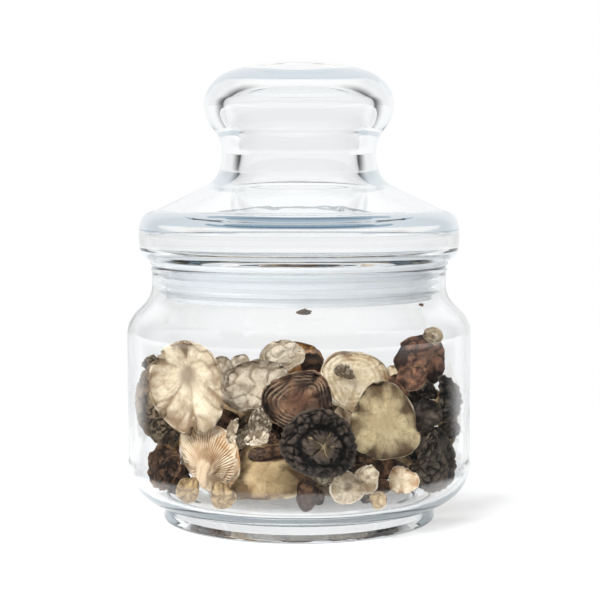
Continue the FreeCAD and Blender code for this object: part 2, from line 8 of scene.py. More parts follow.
# %% Load the frame
import math
import bpy
import numpy as np
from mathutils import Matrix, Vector


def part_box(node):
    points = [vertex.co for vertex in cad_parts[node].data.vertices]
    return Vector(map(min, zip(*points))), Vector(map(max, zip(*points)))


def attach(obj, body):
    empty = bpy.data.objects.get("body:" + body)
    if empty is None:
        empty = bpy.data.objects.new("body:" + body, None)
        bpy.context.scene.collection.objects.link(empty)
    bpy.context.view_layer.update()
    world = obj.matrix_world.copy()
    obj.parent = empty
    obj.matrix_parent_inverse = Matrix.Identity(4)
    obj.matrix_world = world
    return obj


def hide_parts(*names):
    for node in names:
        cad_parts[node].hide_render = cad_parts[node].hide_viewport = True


MM = 0.001
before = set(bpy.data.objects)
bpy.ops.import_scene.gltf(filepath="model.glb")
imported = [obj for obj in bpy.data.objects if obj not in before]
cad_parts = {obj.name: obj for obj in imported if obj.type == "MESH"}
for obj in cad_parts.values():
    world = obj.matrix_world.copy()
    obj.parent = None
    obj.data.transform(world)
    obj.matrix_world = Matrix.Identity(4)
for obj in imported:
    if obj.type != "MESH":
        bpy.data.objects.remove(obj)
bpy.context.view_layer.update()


def placed(name, data):
    """A new object that holds the data, linked to the scene."""
    made = bpy.data.objects.new(name, data)
    bpy.context.collection.objects.link(made)
    return made


# %% [markdown]
# ## The camera
# The camera stands in front at about the height of the sealing ring and looks down a little, so
# the jar's foot and the knob's top both show as flat ellipses. A long lens keeps them flat.

# %% Camera
CAMERA_PLACE = (0.00027, -0.484, 0.0974)
CAMERA_DOWN = 4.567
LENS = 108.5
SENSOR_WIDTH = 36
NEAREST_SEEN = 0.01

camera_data = bpy.data.cameras.new("camera")
camera_data.lens = LENS
camera_data.sensor_width = SENSOR_WIDTH
camera_data.clip_start = NEAREST_SEEN
camera = placed("camera", camera_data)
camera.location = CAMERA_PLACE
camera.rotation_euler = (math.radians(90 - CAMERA_DOWN), 0, 0)
bpy.context.scene.camera = camera
bpy.context.scene.view_settings.view_transform = "Standard"
print("camera at", CAMERA_PLACE, "lens", LENS)

# %% [markdown]
# ## Shader maths as ordinary expressions
# A material is a graph of nodes, which soon gets hard to read when it is written node by node.
# So one small class wraps a socket and takes part in Python's own sums: `1 - mask` adds a Math
# node by itself. A second class adds any other node with its settings and inputs in one call.

# %% Terms: sockets that can be added and multiplied
def sum_of(operation, turned_round=False):
    """A method of Term for one sum; turned_round is for a number on the left, as in 1 - mask."""
    def method(self, other):
        return self.maths(operation, *((other, self) if turned_round else (self, other)))
    return method


class Term:
    """One value of a shader, such as a mask. Sums with it add the Math nodes that do them."""

    def __init__(self, finish, socket):
        self.finish = finish
        self.socket = socket

    def maths(self, operation, *values):
        """The named Math node's result for the values, such as ARCTAN2 or GREATER_THAN."""
        node = self.finish.node("ShaderNodeMath", {"operation": operation}, dict(enumerate(values)))
        return Term(self.finish, node.outputs[0])

    __add__ = __radd__ = sum_of("ADD")
    __mul__ = __rmul__ = sum_of("MULTIPLY")
    __sub__, __rsub__ = sum_of("SUBTRACT"), sum_of("SUBTRACT", True)
    __truediv__, __pow__ = sum_of("DIVIDE"), sum_of("POWER")

    def __abs__(self):
        return self.maths("ABSOLUTE", self)


# %% Finishes: materials and worlds that take nodes
class Finish:
    """A material or world being built. `node` adds any node; the rest are short words for it."""

    def __init__(self, owner):
        owner.use_nodes = True
        self.owner = owner
        self.tree = owner.node_tree
        self.tree.nodes.clear()

    def node(self, kind, settings=None, inputs=None):
        """Adds a node: its settings first, then the value or link of each named input."""
        made = self.tree.nodes.new(kind)
        for name, value in (settings or {}).items():
            setattr(made, name, value)
        for key, value in (inputs or {}).items():
            value = getattr(value, "socket", value)
            if isinstance(value, bpy.types.NodeSocket):
                self.tree.links.new(value, made.inputs[key])
            else:
                made.inputs[key].default_value = value
        return made

    def mix(self, first, second, share):
        """A colour that goes from the first to the second as share goes from 0 to 1."""
        inputs = {0: share, 6: first, 7: second}
        return self.node("ShaderNodeMix", {"data_type": "RGBA"}, inputs).outputs[2]

    def mix_shaders(self, share, first, second):
        """The first node's shader where share is 0 and the second's where it is 1."""
        inputs = {0: share, 1: first.outputs[0], 2: second.outputs[0]}
        return self.node("ShaderNodeMixShader", {}, inputs)

    def step(self, value, low, high):
        """0 below low, 1 above high, and a smooth curve between them."""
        settings = {"interpolation_type": "SMOOTHSTEP"}
        inputs = {"Value": value, "From Min": low, "From Max": high}
        return Term(self, self.node("ShaderNodeMapRange", settings, inputs).outputs[0])

    def noise(self, place, scale, detail, roughness=0.5):
        inputs = {"Vector": place, "Scale": scale, "Detail": detail, "Roughness": roughness}
        return Term(self, self.node("ShaderNodeTexNoise", {}, inputs).outputs[0])

    def attribute(self, name, output="Fac"):
        node = self.node("ShaderNodeAttribute", {"attribute_name": name})
        return Term(self, node.outputs[output])

    def split(self, vector):
        node = self.node("ShaderNodeSeparateXYZ", {}, {0: vector})
        return [Term(self, output) for output in node.outputs]

    def bump(self, height, distance, strength):
        inputs = {"Height": height, "Distance": distance, "Strength": strength}
        return self.node("ShaderNodeBump", {}, inputs).outputs[0]

    def surface(self, shader, kind="ShaderNodeOutputMaterial"):
        self.node(kind, {}, {"Surface": shader})
        return self.owner


def paint(code):
    """A colour code of red, green and blue, 00 to ff, as the light that Blender counts in."""
    chart = np.array(list(bytes.fromhex(code))) / 255
    light = np.where(chart < 0.04045, chart / 12.92, ((chart + 0.055) / 1.055) ** 2.4)
    return (*light.tolist(), 1.0)


WHITE = (1, 1, 1, 1)
print("a mid grey is", paint("808080")[:3])

# %% [markdown]
# ## The studio
# Clear glass has no colour of its own: it is drawn by what it bends. A photographer puts it
# before a white sheet, keeps the room in front dark, and sets black cards at the sides, and the
# glass shows them as thin dark lines along its edges. The world does the same for rays that have
# only met glass or gloss. For rays that light a matt surface it is a plain soft dome, brighter
# overhead, and a key lamp high on the left gives each fold a bright and a dark side.

# %% World
# bearings are in degrees from straight behind the jar, and heights are the sine of the angle
# above the floor; each pair is where a soft border begins and ends
CARD_PLACES = (74, 106)
CARD_BORDER = (7.2, 18)
CARD_TOP = (0.5, 0.75)
CARD_SHADE = 0.04
BENT_SIDES = (100, 150)
BENT_FRONT = 0.35
MIRRORED_SIDES = (30, 60)
MIRRORED_TOP = (0.6, 0.9)
MIRRORED_FRONT = 0.08
DOME_HEIGHTS = (-0.1, 0.9)
DOME_LOW = 0.34
DOME_HIGH = 0.95

world = bpy.data.worlds.new("studio")
bpy.context.scene.world = world
studio = Finish(world)
toward = studio.node("ShaderNodeTexCoord").outputs["Generated"]
side, ahead, up = studio.split(toward)
bearing = abs(side.maths("ARCTAN2", side, ahead)) * (180 / math.pi)
cards = sum(1 - studio.step(abs(bearing - place), *CARD_BORDER) for place in CARD_PLACES)
cards = cards * (1 - studio.step(abs(up), *CARD_TOP))
bent = (1 - cards * (1 - CARD_SHADE)) * (1 - studio.step(bearing, *BENT_SIDES) * (1 - BENT_FRONT))
low = 1 - studio.step(up, *MIRRORED_TOP)
mirrored = 1 - studio.step(bearing, *MIRRORED_SIDES) * low * (1 - MIRRORED_FRONT)
ray = studio.node("ShaderNodeLightPath").outputs
direct = Term(studio, ray["Is Camera Ray"])
lighting = direct.maths("GREATER_THAN", ray["Diffuse Depth"], 0.5)
glossy = Term(studio, ray["Is Glossy Ray"])
looking = glossy * mirrored + (1 - glossy) * bent
dome = DOME_LOW + (DOME_HIGH - DOME_LOW) * studio.step(up, *DOME_HEIGHTS)
strength = direct + (1 - direct) * ((1 - lighting) * looking + lighting * dome)
light = studio.node("ShaderNodeBackground", {}, {"Color": WHITE, "Strength": strength})
studio.surface(light.outputs[0], "ShaderNodeOutputWorld")
print("world: white, with", 2 * len(CARD_PLACES), "dark cards")

# %% Key lamp
KEY_PLACE = (-0.42, -0.62, 0.78)
KEY_TARGET = (0, 0, 0.03)
KEY_SIZE = 0.5
KEY_POWER = 15.0

key_data = bpy.data.lights.new("key", "AREA")
key_data.shape = "SQUARE"
key_data.size = KEY_SIZE
key_data.energy = KEY_POWER
key = placed("key", key_data)
key.location = KEY_PLACE
aim = Vector(KEY_TARGET) - Vector(KEY_PLACE)
key.rotation_euler = aim.to_track_quat("-Z", "Y").to_euler()
key.visible_glossy = key.visible_transmission = key.visible_camera = False
print("key lamp:", KEY_POWER, "W")

# %% [markdown]
# ## The floor
# The keeper stands on a white sheet that runs on behind it. It catches the soft shadow under the
# foot, so it is one flat face, not attached to the object's bodies. To the eye, and through the
# glass, part of its white is its own, so the shadow stays light. Where the glass mirrors the
# sheet in front it is dark, or the mirrored white would lie over dark mushrooms.

# %% Floor
# lengths in metres; each pair is where a soft border begins and ends
FLOOR_REACH = 3.0
FLOOR_GAP = 0.02 * MM
SHADOW_BORDER = (0.06, 0.30)
OWN_WHITE = 0.45
FRONT_SECTOR = (0.30, 0.60)
DARK_FROM = (0.07, 0.10)
DARK_TO = (0.40, 0.65)
MIRRORED_FLOOR = 0.03

floor_mesh = bpy.data.meshes.new("floor")
corners = np.array([(-1, -1, 0), (1, -1, 0), (1, 1, 0), (-1, 1, 0)]) * FLOOR_REACH
floor_mesh.from_pydata((corners - (0, 0, FLOOR_GAP)).tolist(), [], [(0, 1, 2, 3)])
floor = placed("floor", floor_mesh)
sheet = Finish(bpy.data.materials.new("white_sheet"))
across, along, _ = sheet.split(sheet.node("ShaderNodeTexCoord").outputs["Object"])
distance = (across * across + along * along) ** 0.5
ray = sheet.node("ShaderNodeLightPath").outputs
depth = Term(sheet, ray["Diffuse Depth"])
looked_at = 1 - depth.maths("GREATER_THAN", depth, 0.5)
own_white = looked_at * (OWN_WHITE + (1 - OWN_WHITE) * sheet.step(distance, *SHADOW_BORDER))
matt = sheet.node("ShaderNodeBsdfDiffuse", {}, {"Color": (0.95, 0.95, 0.95, 1)})
glow = sheet.node("ShaderNodeEmission", {}, {"Color": WHITE, "Strength": 1.0})
in_front = (1 - sheet.step(along / distance, *FRONT_SECTOR)) * sheet.step(distance, *DARK_FROM)
in_front = in_front * (1 - sheet.step(distance, *DARK_TO))
mirrored = looked_at * in_front * depth.maths("GREATER_THAN", ray["Glossy Depth"], 0.5)
dark = sheet.node("ShaderNodeEmission", {}, {"Color": WHITE, "Strength": MIRRORED_FLOOR})
shown = sheet.mix_shaders(mirrored, sheet.mix_shaders(own_white, matt, glow), dark)
floor_mesh.materials.append(sheet.surface(shown.outputs[0]))
print("floor:", 2 * FLOOR_REACH, "m square")

# %% [markdown]
# ## Surfaces from grids of points
# Every new piece here is a grid of points: rows that follow a profile, and columns that go round.
# One function turns such a grid into a closed mesh. Where the profile starts or ends on the axis
# the whole row is one point, a pole, and a fan of triangles closes it without a pinhole.

# %% A closed mesh from a grid
def closed_mesh(name, grid, loop=False):
    """Turns rows x columns points into a mesh that closes round its columns.

    Without loop, the first and last row each hold one point, the poles. With loop, the last row
    is joined to the first, as on a ring. Each face has the corners (row, column), (row + 1,
    column), (row + 1, column + 1), (row, column + 1), so it faces along the row's direction
    crossed with the column's. The second result lists the grid points that the mesh uses.
    """
    rows, columns = grid.shape[:2]
    number = np.arange(rows * columns).reshape(rows, columns)
    below = np.roll(number, -1, axis=0) if loop else number[1:]
    above = number if loop else number[:-1]
    quads = np.stack([above, below, np.roll(below, -1, 1), np.roll(above, -1, 1)], -1)
    if not loop:
        first_fan = quads[0][:, [0, 1, 2]]
        last_fan = quads[-1][:, [0, 1, 3]]
        quads = quads[1:-1]
        first_fan[:, 0] = number[0, 0]
        last_fan[:, 1] = number[-1, 0]
        fans = np.concatenate([first_fan, last_fan])
    else:
        fans = np.zeros((0, 3), int)
    quads = quads.reshape(-1, 4)
    used, loops = np.unique(np.concatenate([quads.ravel(), fans.ravel()]), return_inverse=True)
    sizes = np.concatenate([np.full(len(quads), 4), np.full(len(fans), 3)])
    mesh = bpy.data.meshes.new(name)
    mesh.vertices.add(len(used))
    mesh.vertices.foreach_set("co", grid.reshape(-1, 3)[used].ravel())
    mesh.loops.add(len(loops))
    mesh.loops.foreach_set("vertex_index", loops)
    mesh.polygons.add(len(sizes))
    mesh.polygons.foreach_set("loop_start", np.cumsum(sizes) - sizes)
    mesh.polygons.foreach_set("use_smooth", np.ones(len(sizes), bool))
    mesh.update(calc_edges=True)
    mesh.validate()
    return mesh, used


def stand_in_for(node, mesh, body, material):
    """Links a mesh as the piece that is shown for a node, on its body and in its finish."""
    piece = placed(node + "_shown", mesh)
    mesh.materials.append(material)
    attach(piece, body)
    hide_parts(node)


print("grid helper ready")

# %% [markdown]
# ## Repeatable noise
# Wrinkles and waves look natural when they never repeat, but the scene must come out the same
# each time. Gradient noise does both: each corner of a lattice gets a slope from its own whole
# numbers, and between the corners the slopes are blended smoothly.

# %% Gradient noise
PRIMES = (374761393, 668265263, 2147483647)
SCRAMBLER = 1274126177


def lattice_slope(place, seed):
    """A number from -1 to 1 for a lattice corner: its whole numbers are scrambled bit by bit."""
    mixed = sum(place[..., axis] * prime for axis, prime in enumerate(PRIMES))
    mixed = (mixed + seed * SCRAMBLER) & 0xFFFFFFFF
    mixed = ((mixed ^ (mixed >> 13)) * SCRAMBLER) & 0xFFFFFFFF
    return ((mixed ^ (mixed >> 16)) & 0xFFFF) / 32767.5 - 1


def noise(points, size, seed=0):
    """Noise from about -1 to 1 with bumps of the given size.

    The eight corners round a point each give slope . offset, and they are blended along each
    axis by t * t * t * (t * (6 t - 15) + 10), where t goes from 0 to 1 across the cell.
    """
    scaled = points / size
    cell = np.floor(scaled).astype(np.int64)
    inside = scaled - cell
    blend = inside**3 * (inside * (inside * 6 - 15) + 10)
    total = np.zeros(points.shape[:-1])
    for corner in np.ndindex(2, 2, 2):
        offset = inside - corner
        slopes = np.stack([lattice_slope(cell + corner, seed * 3 + axis) for axis in range(3)], -1)
        weight = np.prod(np.where(corner, blend, 1 - blend), -1)
        total += weight * (slopes * offset).sum(-1)
    return total * 1.5


sample = noise(np.random.default_rng(1).uniform(-20, 20, (2000, 3)), 3.0)
print("noise from", round(sample.min(), 2), "to", round(sample.max(), 2))

# %% [markdown]
# ## Clear glass
# Soda glass is nearly colourless, with a faint blue-green where it is thick. Light passes through
# and bends by an index of 1.5. Pressed glass is also never quite even, so a very shallow, broad
# bump makes the lines in it waver a little. Light that goes on to a matt surface passes straight
# through instead of being bent: the mushrooms are then lit evenly and without grain. Light that
# has been thrown about inside the glass many times is let out too, dimmer and bluer, where it
# would turn black.

# %% Light that is let through
MOST_REFLECTIONS = 2.5
MOST_SURFACES = 8.5


def let_through(finish, shader, tint, caught_tint):
    """The shader, but plainly clear for light on its way to matt things and for caught light."""
    clear = finish.node("ShaderNodeBsdfTransparent", {}, {"Color": tint})
    dim = finish.node("ShaderNodeBsdfTransparent", {}, {"Color": caught_tint})
    ray = finish.node("ShaderNodeLightPath").outputs
    straight = Term(finish, ray["Is Shadow Ray"])
    straight = straight.maths("MAXIMUM", straight, ray["Is Diffuse Ray"])
    caught = straight.maths("GREATER_THAN", ray["Glossy Depth"], MOST_REFLECTIONS)
    deep = straight.maths("GREATER_THAN", ray["Ray Depth"], MOST_SURFACES)
    looked_at = finish.mix_shaders(caught.maths("MAXIMUM", caught, deep), shader, dim)
    return finish.surface(finish.mix_shaders(straight, looked_at, clear).outputs[0])


print("caught light: after", MOST_REFLECTIONS, "reflections or", MOST_SURFACES, "surfaces")

# %% Glass finishes
SODA_INDEX = 1.5
SODA_TINT = (0.955, 0.965, 0.97, 1)


def clear_glass(name, caught_tint):
    """Soda glass with a faint ripple; the tint is what each wall takes from light caught in it."""
    glass = Finish(bpy.data.materials.new(name))
    place = glass.node("ShaderNodeTexCoord").outputs["Object"]
    ripple = glass.noise(place, 55, 1.0) + glass.noise(place, 160, 1.0) * 0.25
    shader = glass.node("ShaderNodeBsdfPrincipled", {}, {
        "Base Color": (0.986, 0.994, 0.998, 1),
        "Roughness": 0.0,
        "IOR": SODA_INDEX,
        "Transmission Weight": 1.0,
        "Normal": glass.bump(ripple, 0.00025, 0.35),
    })
    return let_through(glass, shader, SODA_TINT, caught_tint)


pressed_glass = clear_glass("pressed_glass", (0.36, 0.42, 0.46, 1))
blown_glass = clear_glass("blown_glass", (0.68, 0.745, 0.79, 1))
print("glass: index", SODA_INDEX)

# %% [markdown]
# ## Clear sealing plastic
# The ring is soft clear plastic, slightly milky, with a satin skin. Rough transmission gives the
# milk, and a fine bump breaks its shine.

# %% Ring finish
plastic = Finish(bpy.data.materials.new("milky_plastic"))
place = plastic.node("ShaderNodeTexCoord").outputs["Object"]
skin = plastic.noise(place, 900, 2.0)
haze = plastic.noise(place, 120, 2.0)
plastic_shader = plastic.node("ShaderNodeBsdfPrincipled", {}, {
    "Base Color": plastic.mix((0.66, 0.67, 0.68, 1), (0.71, 0.72, 0.73, 1), haze),
    "Roughness": 0.16 + haze * 0.06,
    "IOR": 1.14,
    "Transmission Weight": 0.65,
    "Normal": plastic.bump(skin, 0.00002, 0.2),
})
milky_plastic = let_through(
    plastic, plastic_shader, (0.97, 0.98, 0.985, 1), (0.93, 0.945, 0.96, 1))
print("ring: milky plastic")

# %% [markdown]
# ## Turned pieces
# The jar, the lid and the ring are round. Their profile is already in the frame: the points of
# the CAD mesh that lie in the plane y = 0, on the right of the axis. Joined in order they are a
# polyline, which is divided so that no step is long and then carried round the axis in fine
# steps. That keeps the pieces exactly where they belong and makes them truly round.

# %% The profile of a round node
SAME_PLACE = 1e-7


def seam_profile(node):
    """The outline (distance from the axis, height) of a round node in metres, and if it loops.

    The edges on the seam are joined end to end, from an open end or from the lowest point.
    """
    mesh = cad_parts[node].data
    points = np.zeros(len(mesh.vertices) * 3)
    mesh.vertices.foreach_get("co", points)
    points = points.reshape(-1, 3)
    edges = np.zeros(len(mesh.edges) * 2, int)
    mesh.edges.foreach_get("vertices", edges)
    edges = edges.reshape(-1, 2)
    on_seam = (abs(points[:, 1]) < SAME_PLACE) & (points[:, 0] > -SAME_PLACE)
    steps = np.round(points[edges[on_seam[edges].all(1)]][:, :, [0, 2]], 7)
    joined = {}
    for step in steps.tolist():
        start, end = map(tuple, step)
        if start != end:
            joined.setdefault(start, set()).add(end)
            joined.setdefault(end, set()).add(start)
    ends = sorted(p for p, others in joined.items() if len(others) == 1)
    path = [ends[0] if ends else min(joined)]
    while onward := [p for p in sorted(joined[path[-1]]) if p not in path]:
        path.append(onward[0])
    return np.array(path), not ends


def divided(path, longest, loop):
    """The path with extra points, so that no step is longer than `longest`."""
    starts, ends = (path, np.roll(path, -1, 0)) if loop else (path[:-1], path[1:])
    counts = np.ceil(np.linalg.norm(ends - starts, axis=1) / longest - 1e-9).astype(int)
    counts = np.maximum(counts, 1)
    share = np.concatenate([np.arange(count) / count for count in counts])
    fine = np.repeat(starts, counts, 0) + np.repeat(ends - starts, counts, 0) * share[:, None]
    return fine if loop else np.vstack([fine, path[-1:]])


print("jar profile:", len(seam_profile("jar")[0]), "points")

# %% Jar, lid and ring
SHARP_CORNER = 35
TURNED_COLUMNS = 224


def turned(node, body, material, longest):
    """Carries a node's profile round the axis: (r cos a, r sin a, height).

    An open profile first gets its ends joined to the axis. The profile runs so that its faces
    point outwards, which the sign of the area inside it tells.
    """
    path, loop = seam_profile(node)
    if not loop:
        path = np.vstack([(0, path[0, 1]), path, (0, path[-1, 1])])
        path = path[np.append(True, np.linalg.norm(np.diff(path, axis=0), axis=1) > SAME_PLACE)]
    radius, height = path.T
    area = (radius * np.roll(height, -1) - np.roll(radius, -1) * height).sum()
    if area > 0:
        path = path[::-1]
    radius, height = divided(path, longest * MM, loop).T
    angle = np.arange(TURNED_COLUMNS) * 2 * np.pi / TURNED_COLUMNS
    grid = np.stack([
        np.outer(radius, np.cos(angle)),
        np.outer(radius, np.sin(angle)),
        np.outer(height, np.ones(TURNED_COLUMNS)),
    ], -1)
    mesh, _ = closed_mesh(node + "_shown", grid, loop)
    mesh.set_sharp_from_angle(angle=math.radians(SHARP_CORNER))
    stand_in_for(node, mesh, body, material)
    print(node, "turned:", len(radius), "rows of", TURNED_COLUMNS)


turned("jar", "jar_and_contents", pressed_glass, 0.9)
turned("lid", "glass_lid", blown_glass, 0.9)
turned("seal_ring", "sealing_ring", milky_plastic, 0.6)

# %% [markdown]
# ## The shape of a dried mushroom
# The frame's mushrooms are smooth: each is a cage of eighteen spokes round a profile, bent along
# a cylinder, with a cubic spline surface drawn over it. The same cage is worked out here, so the
# detailed skin lies where the solid does, and the fine grid over it has room for wrinkles.

# %% Cages
SPOKES = 18

PROFILES = {
    "rolled cap": [
        (0, .40), (.28, .40), (.60, .33), (.88, .12), (1, -.14), (.92, -.30), (.77, -.20),
        (.60, -.01), (.35, .08), (.19, .05), (.16, -.16), (.14, -.34), (0, -.38)],
    "funnel": [
        (0, -.02), (.25, -.01), (.60, .07), (.90, .16), (1, .15), (.95, .05), (.82, -.04),
        (.58, -.13), (.36, -.22), (.23, -.36), (.18, -.60), (.15, -.82), (0, -.86)],
    "thin sheet": [
        (0, .10), (.30, .10), (.65, .10), (.93, .08), (1, 0), (.93, -.08), (.65, -.10),
        (.30, -.10), (0, -.10)],
    "thick lump": [
        (0, .30), (.30, .29), (.62, .25), (.92, .14), (1, 0), (.92, -.14), (.62, -.25),
        (.30, -.29), (0, -.30)],
}
# kind: profile, lobes, waves, length over width, offset of the stalk, lean of the stalk
KINDS = {
    "shiitake": ("rolled cap", .05, .04, .96, .05, .10),
    "oyster": ("funnel", .08, .08, .92, .30, .45),
    "sheet": ("thin sheet", .09, .10, .78, 0, 0),
    "strip": ("thin sheet", .05, .06, .42, 0, 0),
    "lump": ("thick lump", .10, .10, .80, 0, 0),
}


def bend(points, width, curl):
    """Bends points round a cylinder: x becomes an angle, and the height is added to the radius."""
    if curl == 0:
        return points
    x, y, z = np.moveaxis(points, -1, 0)
    radius = width / math.radians(curl)
    turn = x / radius
    return np.stack([(radius + z) * np.sin(turn), y, (radius + z) * np.cos(turn) - radius], -1)


def cage(kind, width, variety):
    """The unbent cage of one mushroom, profile points x spokes, in millimetres.

    The rim's distance goes in and out by lobes * (cos 2a + 0.7 cos 3a), and its height goes up
    and down by waves * (cos 2a + 0.6 cos 4a) times the cube of the reach.
    """
    profile, lobes, waves, length, offset, lean = KINDS[kind]
    reach, level = np.array(PROFILES[profile], float).T[:, :, None]
    angle = 2 * np.pi * np.arange(SPOKES) / SPOKES
    lobe = lobes * (np.cos(2 * angle + variety) + 0.7 * np.cos(3 * angle + 2.3 * variety))
    wave = waves * (np.cos(2 * angle + 1.7 * variety) + 0.6 * np.cos(4 * angle + 3.1 * variety))
    slide = offset * (1 - reach) + lean * np.maximum(0, -0.3 - level)
    x = reach * (1 + lobe) * np.cos(angle) + slide
    y = reach * (1 + lobe) * length * np.sin(angle)
    z = level + wave * reach**3
    return width / 2 * np.stack([x, y, z + 0 * x], -1)


print("cages:", {kind: cage(kind, 20, 1).shape[:2] for kind in KINDS})

# %% Spline surfaces
def clamped_weights(count, places):
    """How much each of `count` control rows counts at each place, 0 to count - 3.

    Cox and de Boor's rule for a cubic: a step function is blended three times, each time with
    its right-hand neighbour, over knots that are repeated four times at both ends.
    """
    knots = np.concatenate([[0] * 3, np.arange(count - 2), [count - 3] * 3]).astype(float)
    places = np.minimum(places, count - 3 - 1e-9)[..., None]
    weights = ((places >= knots[:-1]) & (places < knots[1:])).astype(float)
    for degree in (1, 2, 3):
        left, right = knots[:-1 - degree], knots[1 + degree:]
        rise = np.where(knots[degree:-1] > left, knots[degree:-1] - left, np.inf)
        fall = np.where(right > knots[1:-degree], right - knots[1:-degree], np.inf)
        rising = (places - left) / rise * weights[..., :-1]
        weights = rising + (right - places) / fall * weights[..., 1:]
    return weights


def periodic_weights(count, places):
    """The same for a closed ring of controls: four neighbours blended by the cubic's pieces."""
    whole = np.floor(places).astype(int)
    part = places - whole
    pieces = [(1 - part) ** 3, 3 * part**3 - 6 * part**2 + 4,
              -3 * part**3 + 3 * part**2 + 3 * part + 1, part**3]
    weights = np.zeros(places.shape + (count,))
    for step, piece in enumerate(pieces):
        index = (whole + step - 1) % count
        np.put_along_axis(weights, index[..., None], piece[..., None] / 6, -1)
    return weights


print("weights add up to", clamped_weights(13, np.array([0.0, 4.2, 10.0])).sum(-1))

# %% [markdown]
# ## What drying does to the skin
# A fresh cap is smooth. As it dries, the flesh under the skin shrinks and the skin buckles: on
# shiitake into round pillows with deep creases between them, on thin caps into sharp folds and a
# wavy rim that tears. The gills stay, as thin blades that run from the stalk to the rim. Nearly
# all of it is carved inwards from the smooth solid, so the pieces stay clear of each other.

# %% Carving recipes
# pillows and folds: depth and size in mm; gills: depth in mm, how many, and where they end;
# lobes: how many, the notches' depth as a share of the reach, and the depth in mm of the valley
# that runs to each; terraces: depth in mm and how many; star: depth in mm and how many rays;
# buckle: height of the rim's waves in mm; torn: depth of the tears as a share of the reach; thin:
# share of the rim's thickness that is lost; bites, which a piece has of its own: place and half
# width in degrees of each large gap, and the share of the reach that it takes
RECIPES = {
    "raisin": {"pillows": (1.1, 2.2), "gills": (0.4, 66, 0.97), "torn": 0.05},
    "star": {"pillows": (1.15, 1.9), "star": (0.9, 5), "gills": (0.3, 60, 0.97), "torn": 0.05},
    "ridges": {"pillows": (0.9, 2.1), "folds": (0.5, 3.2), "torn": 0.07},
    "folds": {"lobes": (4, 0.12, 0.6), "folds": (0.6, 3.4), "buckle": 0.9, "torn": 0.12,
              "thin": 0.5},
    "shell": {"lobes": (3, 0.10, 0.7), "folds": (0.3, 6.0), "buckle": 0.9, "torn": 0.08,
              "thin": 0.5},
    "leather": {"lobes": (5, 0.12, 0.6), "folds": (0.18, 6.0), "pillows": (0.12, 0.8),
                "buckle": 1.1, "torn": 0.14, "thin": 0.5},
    "petals": {"lobes": (6, 0.20, 0.9), "folds": (0.30, 5.0), "gills": (0.35, 70, 0.97),
               "buckle": 0.9, "torn": 0.08, "thin": 0.5},
    "slice": {"terraces": (0.15, 7), "lobes": (4, 0.10, 0.3), "folds": (0.2, 4.0),
              "gills": (0.3, 70, 0.97), "buckle": 0.7, "torn": 0.10, "thin": 0.5},
    "gills": {"lobes": (5, 0.16, 0.5), "folds": (0.3, 3.0), "gills": (0.7, 56, 0.90),
              "buckle": 0.9, "torn": 0.16, "thin": 0.4},
    "terraces": {"terraces": (0.5, 10), "lobes": (5, 0.16, 0.8), "folds": (0.35, 3.0),
                 "buckle": 0.9, "torn": 0.08, "thin": 0.4},
    "crumple": {"folds": (0.9, 2.6), "pillows": (0.3, 1.2), "torn": 0.2},
}


def rows_of(table):
    """The lines of a table, each as the list of its words and numbers."""
    lines = table.strip().splitlines()
    return [[float(word) if word.lstrip("-")[0].isdigit() else word for word in line.split()]
            for line in lines]


# name, then the place, half width and share of each bite
BITES = {name: np.reshape(bites, (-1, 3)) for name, *bites in rows_of("""
oyster_cream -23 5 0.24 37 4 0.34 121 8 0.20 185 9 0.26 218 7 0.18
cap_olive -108 17 0.30 128 24 0.28 -5 14 0.14 60 7 0.10
cap_layered -35 20 0.30 45 10 0.20 185 12 0.15
oyster_gilled 35 9 0.22 -20 14 0.26 190 12 0.18
cap_red_right 150 18 0.28 30 12 0.24 -70 12 0.15
oyster_shell 240 12 0.22 100 8 0.16
oyster_grey 60 14 0.24 150 10 0.2
slice_cream 200 20 0.2 -60 8 0.14
shiitake_ridged 20 12 0.16 140 16 0.18
cap_dark_right 70 14 0.2 200 12 0.2
cap_brown_left 60 16 0.22 220 12 0.2
cap_curled 30 14 0.25 170 14 0.25
sheet_folded 90 14 0.25 250 14 0.2
cap_orange_gills 120 12 0.2 0 14 0.16
""")}
MOST_TORN = 0.5


def smooth_step(value, low, high):
    """0 below low, 1 above high, and 3 t t - 2 t t t between them."""
    share = np.clip((value - low) / (high - low), 0, 1)
    return share * share * (3 - 2 * share)


def on_circle(angle, rate, level=0.0):
    """Points on a circle of radius rate, so that noise read there goes round without a seam."""
    return np.stack([rate * np.cos(angle), rate * np.sin(angle), level + 0 * angle], -1)


def notch(angle, number, half_width, seed):
    """1 at the notch between two lobes of the rim and 0 on the lobes, at uneven angles.

    It is exp(-(sin(number * angle / 2) / half_width) ** 2), with noise added to the angle, and
    some of the notches are weaker than others.
    """
    uneven = angle + 0.5 * noise(on_circle(angle, 1.1, 4.0), 1.0, seed + 30)
    strength = smooth_step(noise(on_circle(angle, 1.3, 8.0), 1.0, seed + 31), -0.5, 0.2)
    return np.exp(-((np.sin(number * uneven / 2) / half_width) ** 2)) * (0.3 + 0.7 * strength)


def tears(angle, recipe, seed):
    """The share of the reach torn away at each angle: broad and narrow tears, notches and bites."""
    depth = recipe.get("torn", 0.0)
    broad = np.maximum(0, noise(on_circle(angle, 2.2), 1.0, seed + 20))
    narrow = np.maximum(0, noise(on_circle(angle, 7.0), 1.0, seed + 21) - 0.28) * 2.2
    torn = depth * (1.1 * broad + narrow)
    if "lobes" in recipe:
        number, bite, _ = recipe["lobes"]
        torn = torn + bite * notch(angle, number, 0.22, seed)
    for place, half_width, share in recipe.get("bites", []):
        apart = (np.degrees(angle) - place + 180) % 360 - 180
        torn = torn + share * np.exp(-((apart / half_width) ** 2))
    return np.minimum(torn, MOST_TORN)


def from_crease(points, size, seed, rate=2.4):
    """How far a point is from where the noise crosses zero: |noise| * rate, at most 1."""
    return np.minimum(1, abs(noise(points, size, seed)) * rate)


